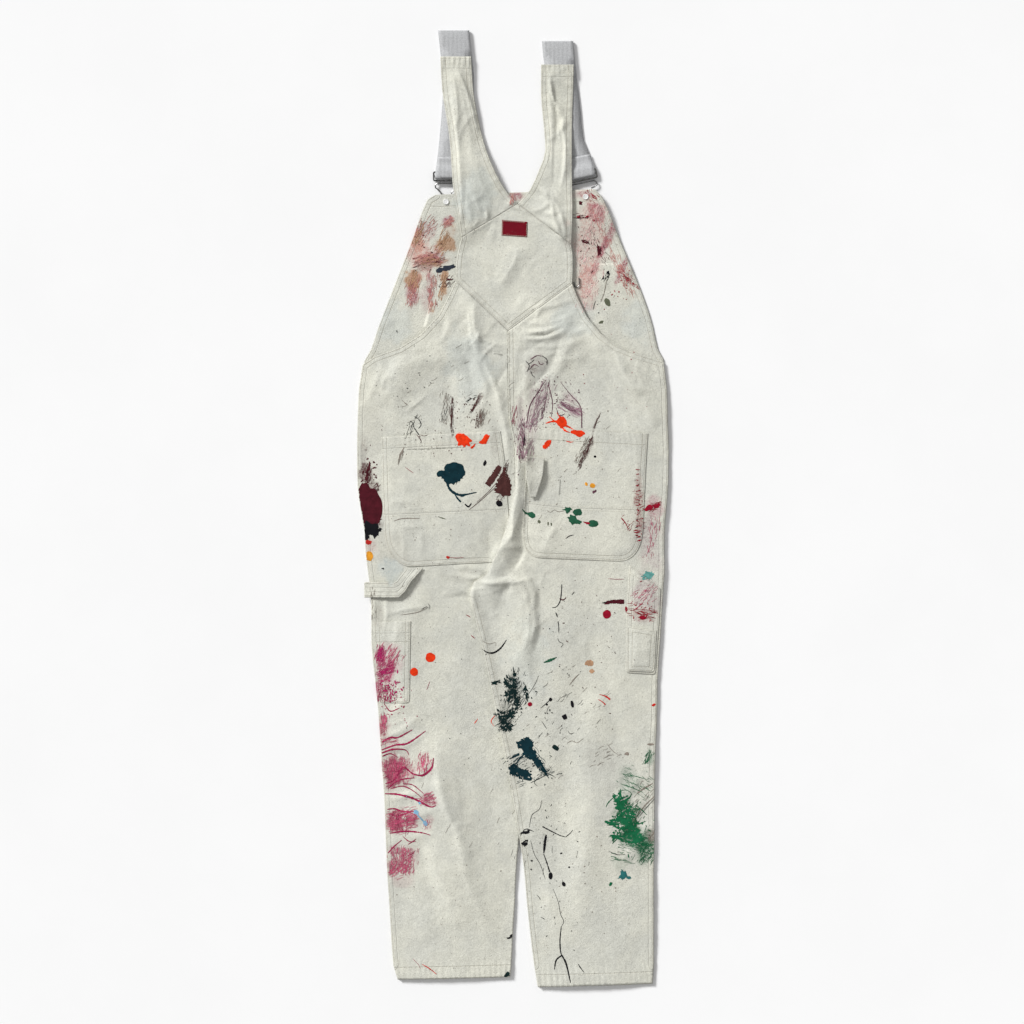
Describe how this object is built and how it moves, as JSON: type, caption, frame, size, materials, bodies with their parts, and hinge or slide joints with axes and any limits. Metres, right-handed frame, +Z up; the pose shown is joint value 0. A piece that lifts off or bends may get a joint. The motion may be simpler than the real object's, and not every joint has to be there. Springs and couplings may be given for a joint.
{
  "type": "bib overalls",
  "caption": "Paint spattered cotton drill bib overalls laid flat, back side up, with a V shaped yoke, elastic strap ends, wire hooks and patch pockets.",
  "frame": {"origin": "middle of the garment's outline, on the surface that it lies on", "axes": "+Y from the hems towards the straps, +X to the wearer's right, +Z up out of the surface"},
  "size_m": [0.4982, 1.53, 0.0213],
  "materials": {
    "drill": "natural cotton drill, dry and matt, spattered with house paint",
    "elastic": "grey ribbed woven elastic",
    "label": "dark red woven label, bare",
    "nickel": "dull nickel plate"
  },
  "bodies": {
    "root": {"front_bib": "drill", "bib_pocket": "drill", "front_leg_left": "drill", "front_leg_right": "drill", "back_left": "drill", "back_right": "drill", "back_yoke": "drill", "strap_left": "drill", "strap_right": "drill", "back_pocket_left": "drill", "back_pocket_right": "drill", "utility_pocket_left": "drill", "utility_pocket_right": "drill", "utility_pocket_right_lower": "drill", "hammer_loop": "drill", "tool_tab": "drill", "label": "label", "elastic_left": "elastic", "elastic_right": "elastic", "slide_left": "nickel", "slide_right": "nickel", "hook_left": "nickel", "hook_right": "nickel", "button_left": "nickel", "button_right": "nickel", "rivet_left": "nickel", "rivet_right": "nickel", "armhole_staple": "nickel"}
  },
  "joints": []
}
